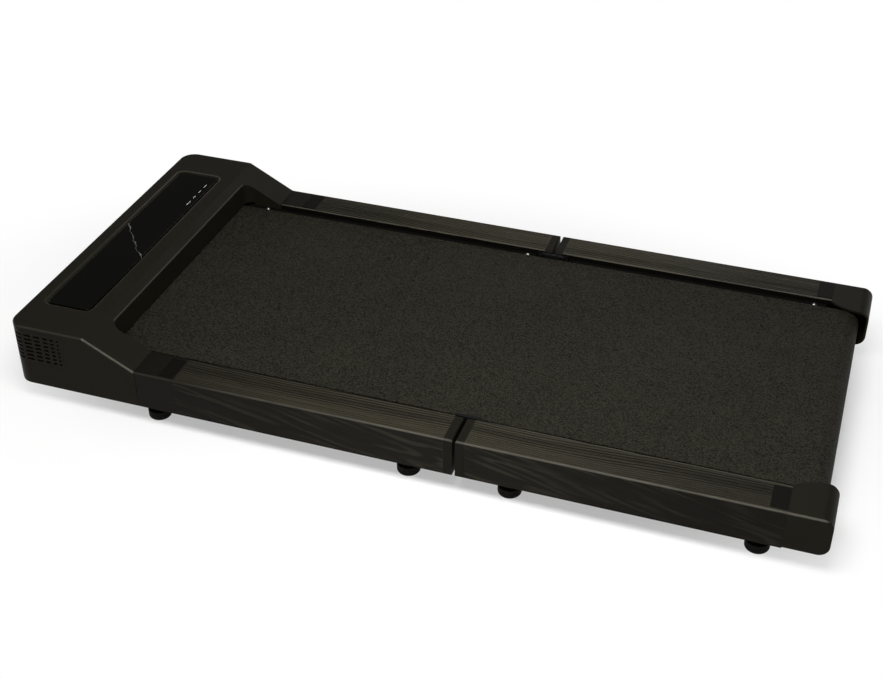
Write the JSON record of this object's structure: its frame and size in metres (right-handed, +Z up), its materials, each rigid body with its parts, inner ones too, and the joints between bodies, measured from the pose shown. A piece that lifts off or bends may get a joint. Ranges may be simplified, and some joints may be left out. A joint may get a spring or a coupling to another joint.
{
  "type": "walking pad",
  "caption": "Folding walking pad: motor head with glossy display and side vents, grained side rails, belt over a split deck, link hinges, rubber feet and transport wheels.",
  "frame": {"origin": "on the floor under the middle of the pad", "axes": "+X from the motor head to the rear end, +Y to the right of a walker who faces the head, +Z up"},
  "size_m": [1.128, 0.54, 0.1235],
  "materials": {
    "head_plastic": "fine moulded texture",
    "grained_plastic": "embossed wood grain",
    "smooth_plastic": "smooth satin",
    "gloss_panel": "polished",
    "belt": "fine diamond texture",
    "drive_rubber": "ribbed",
    "foot_rubber": "matt",
    "wheel_plastic": "smooth",
    "frame_paint": "powder coat",
    "zinc_steel": "zinc plated",
    "black_steel": "black oxide",
    "roller_steel": "turned",
    "cast_alloy": "cast",
    "motor_paint": "satin",
    "deck_wood": "faced board",
    "circuit_board": "coated",
    "fitting_plastic": "satin"
  },
  "bodies": {
    "front_frame": {"base_pan": "frame_paint", "control_board": "circuit_board", "display_board": "circuit_board", "display_panel": "gloss_panel", "drive_axle": "zinc_steel", "drive_belt": "drive_rubber", "front_cross_tubes": "frame_paint", "front_deck_board": "deck_wood", "front_deck_cushions": "foot_rubber", "front_deck_screws": "zinc_steel", "front_feet": "foot_rubber", "front_foot_studs": "zinc_steel", "front_hinge_brackets": "frame_paint", "front_rail_end_caps": "smooth_plastic", "front_screw_covers": "smooth_plastic", "head_cover": "head_plastic", "heat_sink": "cast_alloy", "left_front_rail_cover": "grained_plastic", "right_front_rail_cover": "grained_plastic", "left_front_side_tube": "frame_paint", "right_front_side_tube": "frame_paint", "motor_bracket": "frame_paint", "motor_housing": "motor_paint", "power_inlet": "fitting_plastic", "switch_bezel": "fitting_plastic", "vent_grilles": "head_plastic", "walking_belt": "belt", "wheel_axles": "zinc_steel", "wheel_brackets": "frame_paint"},
    "hinge_links": {"fold_links": "frame_paint", "fold_pins": "black_steel"},
    "rear_frame": {"left_rear_end_cap": "head_plastic", "right_rear_end_cap": "head_plastic", "left_rear_rail_cover": "grained_plastic", "right_rear_rail_cover": "grained_plastic", "left_rear_side_tube": "frame_paint", "right_rear_side_tube": "frame_paint", "rear_axle": "black_steel", "rear_cross_tubes": "frame_paint", "rear_deck_board": "deck_wood", "rear_deck_cushions": "foot_rubber", "rear_deck_screws": "zinc_steel", "rear_feet": "foot_rubber", "rear_foot_studs": "zinc_steel", "rear_hinge_brackets": "frame_paint", "rear_rail_end_caps": "smooth_plastic", "rear_screw_covers": "smooth_plastic", "rear_tube_plugs": "frame_paint"},
    "drive_roller": {"drive_roller": "roller_steel", "drive_roller_bearings": "zinc_steel", "drive_pulley": "cast_alloy"},
    "rear_roller": {"rear_roller": "roller_steel", "rear_roller_bearings": "zinc_steel"},
    "motor_rotor": {"motor_shaft": "zinc_steel", "motor_pulley": "cast_alloy"},
    "left_wheel": {"left_transport_wheel": "wheel_plastic"},
    "right_wheel": {"right_transport_wheel": "wheel_plastic"},
    "power_rocker": {"rocker_switch": "fitting_plastic"},
    "left_tension": {"left_tension_screw": "black_steel"},
    "right_tension": {"right_tension_screw": "black_steel"}
  },
  "joints": [
    {"name": "link_fold", "type": "hinge", "parent": "front_frame", "child": "hinge_links", "pos_m": [0.073, 0, 0.077], "axis": [0, -1, 0], "range_deg": [0, 90], "deforming": ["walking_belt"]},
    {"name": "rear_fold", "type": "hinge", "parent": "hinge_links", "child": "rear_frame", "pos_m": [0.101, 0, 0.077], "axis": [0, -1, 0], "range_deg": [0, 90], "deforming": ["walking_belt"]},
    {"name": "drive_roller_spin", "type": "hinge", "parent": "front_frame", "child": "drive_roller", "pos_m": [-0.454, 0, 0.0554], "axis": [0, 1, 0], "continuous": true},
    {"name": "rear_roller_spin", "type": "hinge", "parent": "rear_frame", "child": "rear_roller", "pos_m": [0.5284, 0, 0.0554], "axis": [0, 1, 0], "continuous": true},
    {"name": "motor_spin", "type": "hinge", "parent": "front_frame", "child": "motor_rotor", "pos_m": [-0.521, 0.14, 0.0702], "axis": [0, 1, 0], "continuous": true},
    {"name": "left_wheel_spin", "type": "hinge", "parent": "front_frame", "child": "left_wheel", "pos_m": [-0.535, -0.205, 0.019], "axis": [0, 1, 0], "continuous": true},
    {"name": "right_wheel_spin", "type": "hinge", "parent": "front_frame", "child": "right_wheel", "pos_m": [-0.535, 0.205, 0.019], "axis": [0, 1, 0], "continuous": true},
    {"name": "power_rocker_tilt", "type": "hinge", "parent": "front_frame", "child": "power_rocker", "pos_m": [-0.5565, -0.012, 0.072], "axis": [0, -1, 0], "range_deg": [0, 20]},
    {"name": "left_tension_turn", "type": "hinge", "parent": "rear_frame", "child": "left_tension", "pos_m": [0.548, -0.243, 0.0554], "axis": [1, 0, 0], "range_deg": [-720, 720]},
    {"name": "right_tension_turn", "type": "hinge", "parent": "rear_frame", "child": "right_tension", "pos_m": [0.548, 0.243, 0.0554], "axis": [1, 0, 0], "range_deg": [-720, 720]}
  ],
  "couplings": [
    {"joint": "link_fold", "follows": "rear_fold", "ratio": 1},
    {"joint": "rear_roller_spin", "follows": "drive_roller_spin", "ratio": 1},
    {"joint": "motor_spin", "follows": "drive_roller_spin", "ratio": 2.1}
  ]
}
